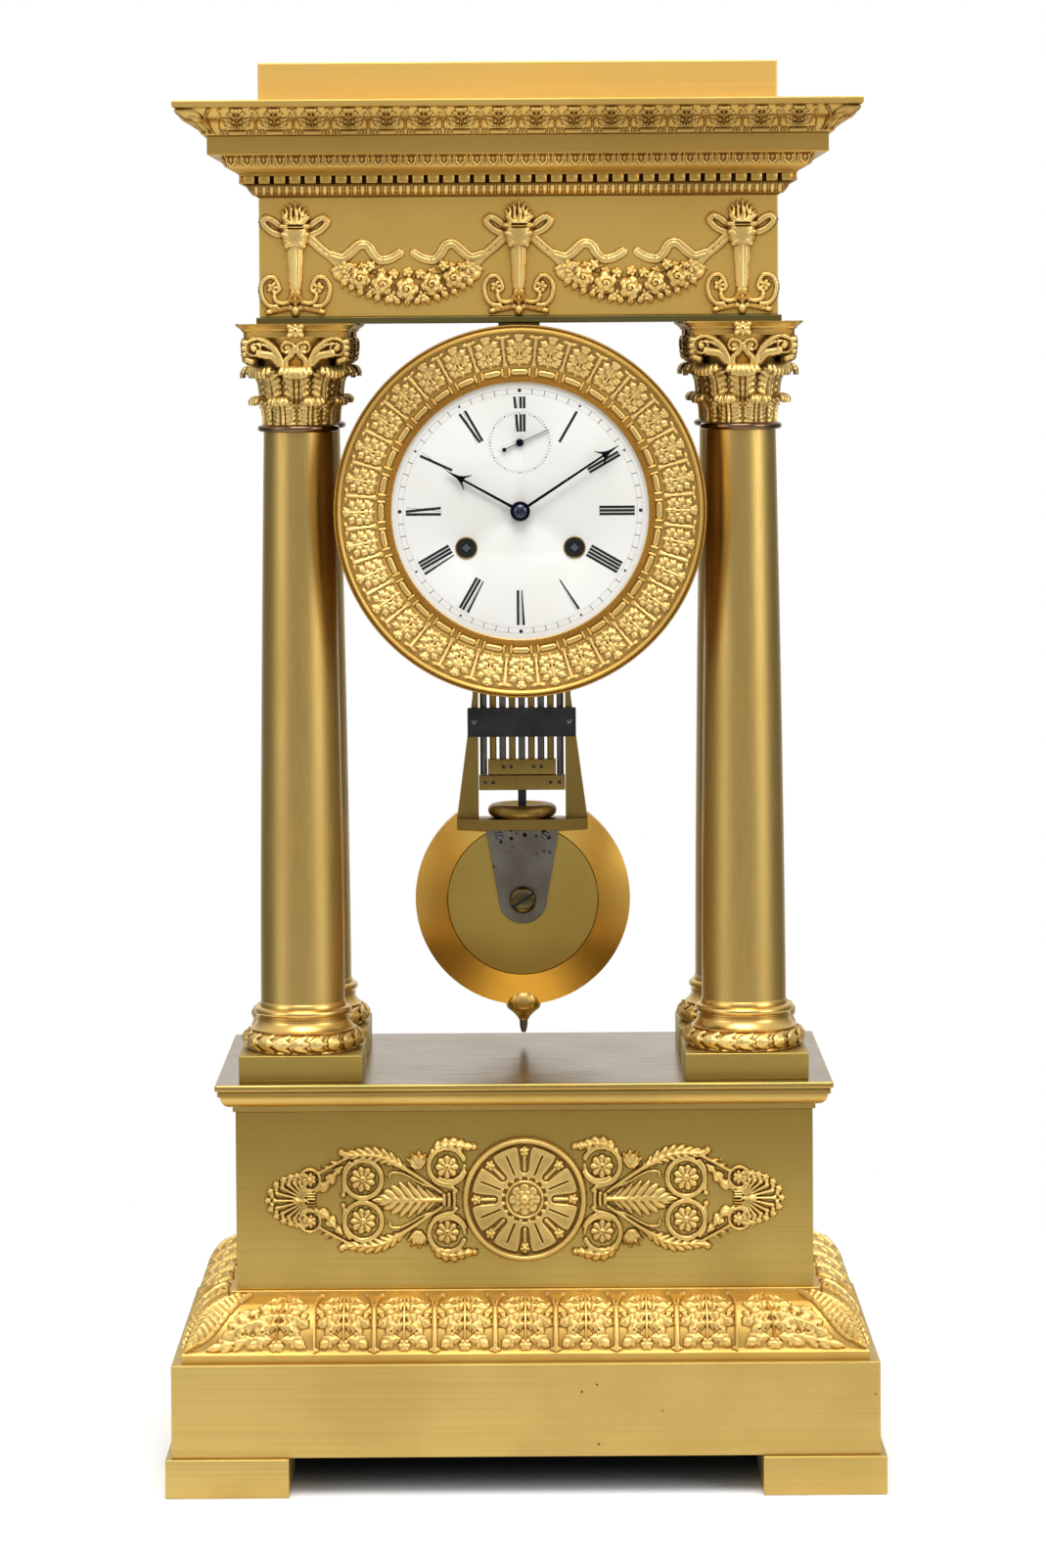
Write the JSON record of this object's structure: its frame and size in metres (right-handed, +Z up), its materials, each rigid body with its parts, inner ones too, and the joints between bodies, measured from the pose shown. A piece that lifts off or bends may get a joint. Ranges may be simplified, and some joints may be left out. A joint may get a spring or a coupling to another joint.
{
  "type": "portico clock",
  "caption": "Gilt portico clock: a round dial in a drum between columns, a compensated pendulum swinging below it, on a moulded base under a cornice.",
  "frame": {"origin": "on the floor, under the middle of the clock's width and depth", "axes": "+Z up, the dial faces -Y, +X to the right as seen from the front"},
  "size_m": [0.3264, 0.18, 0.6495],
  "materials": {
    "gilt": "gilt, brushed",
    "ormolu": "matt gilt casting",
    "brass": "satin",
    "aged_brass": "dull, aged",
    "steel": "worn",
    "blued_steel": "blued",
    "enamel": "gloss white enamel"
  },
  "bodies": {
    "case": {"corner_feet": "gilt", "base_block": "gilt", "leaf_plinth": "gilt", "pedestal_moulding": "gilt", "column_plinths": "gilt", "column_bases": "gilt", "frieze_box": "gilt", "egg_course": "gilt", "dentil_course": "gilt", "corona_course": "gilt", "cyma_course": "gilt", "attic_block": "gilt", "medallion_mount": "ormolu", "scroll_mount_left": "ormolu", "scroll_mount_right": "ormolu", "capitals": "ormolu", "torch_mounts": "ormolu", "garland_mounts": "ormolu", "bezel": "ormolu", "pedestal_box": "brass", "pedestal_top_plate": "brass", "column_shafts": "brass", "drum_case": "brass", "winding_eyelets": "brass", "back_cover": "brass", "front_plate": "brass", "back_plate": "brass", "plate_pillars": "brass", "suspension_cock": "brass", "architrave_plate": "aged_brass", "saddle_block": "aged_brass", "dial": "enamel"},
    "minute_set": {"cannon_pinion": "steel", "minute_hand": "blued_steel", "hand_screw": "blued_steel"},
    "hour_set": {"hour_wheel": "brass", "hour_hand": "blued_steel"},
    "minute_idler": {"minute_wheel": "brass"},
    "seconds_set": {"escape_wheel": "brass", "seconds_hand": "blued_steel"},
    "third_arbor": {"third_wheel": "brass"},
    "centre_arbor": {"centre_wheel": "brass"},
    "going_drum": {"going_barrel": "brass"},
    "strike_drum": {"strike_barrel": "brass"},
    "going_key_arbor": {"going_winding_arbor": "steel"},
    "strike_key_arbor": {"strike_winding_arbor": "steel"},
    "pendulum": {"suspension_spring": "steel", "pendulum_frame": "brass", "steel_rods": "steel", "brass_rods": "brass", "cross_band": "steel", "cross_bars": "brass", "bob_bracket": "steel", "bob_ring": "gilt", "bob_face": "brass", "bob_screw": "steel", "bracket_screws": "steel", "finial": "gilt"},
    "regulator": {"rating_nut": "brass"},
    "escapement": {"anchor": "steel"}
  },
  "joints": [
    {"name": "minute_turn", "type": "hinge", "parent": "case", "child": "minute_set", "pos_m": [0, 0, 0.4444], "axis": [0, 1, 0], "continuous": true},
    {"name": "hour_turn", "type": "hinge", "parent": "case", "child": "hour_set", "pos_m": [0, 0, 0.4444], "axis": [0, 1, 0], "continuous": true},
    {"name": "minute_wheel_turn", "type": "hinge", "parent": "case", "child": "minute_idler", "pos_m": [0, 0, 0.4324], "axis": [0, 1, 0], "continuous": true},
    {"name": "seconds_turn", "type": "hinge", "parent": "case", "child": "seconds_set", "pos_m": [0, 0, 0.4756], "axis": [0, 1, 0], "continuous": true},
    {"name": "third_turn", "type": "hinge", "parent": "case", "child": "third_arbor", "pos_m": [-0.0137, 0, 0.46225], "axis": [0, 1, 0], "continuous": true},
    {"name": "centre_turn", "type": "hinge", "parent": "case", "child": "centre_arbor", "pos_m": [0, 0, 0.4444], "axis": [0, 1, 0], "continuous": true},
    {"name": "going_barrel_turn", "type": "hinge", "parent": "case", "child": "going_drum", "pos_m": [0.0247, 0, 0.4276], "axis": [0, 1, 0], "continuous": true},
    {"name": "strike_barrel_turn", "type": "hinge", "parent": "case", "child": "strike_drum", "pos_m": [-0.0247, 0, 0.4276], "axis": [0, 1, 0], "continuous": true},
    {"name": "going_wind", "type": "hinge", "parent": "case", "child": "going_key_arbor", "pos_m": [0.0247, 0, 0.4276], "axis": [0, 1, 0], "range_deg": [0, 1620]},
    {"name": "strike_wind", "type": "hinge", "parent": "case", "child": "strike_key_arbor", "pos_m": [-0.0247, 0, 0.4276], "axis": [0, 1, 0], "range_deg": [0, 1620]},
    {"name": "pendulum_swing", "type": "hinge", "parent": "case", "child": "pendulum", "pos_m": [0, 0.05455, 0.5024], "axis": [0, 1, 0], "range_deg": [-4, 4]},
    {"name": "anchor_rock", "type": "hinge", "parent": "case", "child": "escapement", "pos_m": [0, 0, 0.5024], "axis": [0, 1, 0], "range_deg": [-4, 4]},
    {"name": "rating_turn", "type": "hinge", "parent": "pendulum", "child": "regulator", "pos_m": [0, 0.05455, 0.297], "axis": [0, 0, 1], "range_deg": [-720, 720]}
  ],
  "couplings": [
    {"joint": "hour_turn", "follows": "minute_turn", "ratio": 0.083333},
    {"joint": "minute_wheel_turn", "follows": "minute_turn", "ratio": -0.33333},
    {"joint": "third_turn", "follows": "seconds_turn", "ratio": -0.13333},
    {"joint": "centre_turn", "follows": "seconds_turn", "ratio": 0.016667},
    {"joint": "going_barrel_turn", "follows": "seconds_turn", "ratio": -0.0020833},
    {"joint": "anchor_rock", "follows": "pendulum_swing", "ratio": 1}
  ]
}
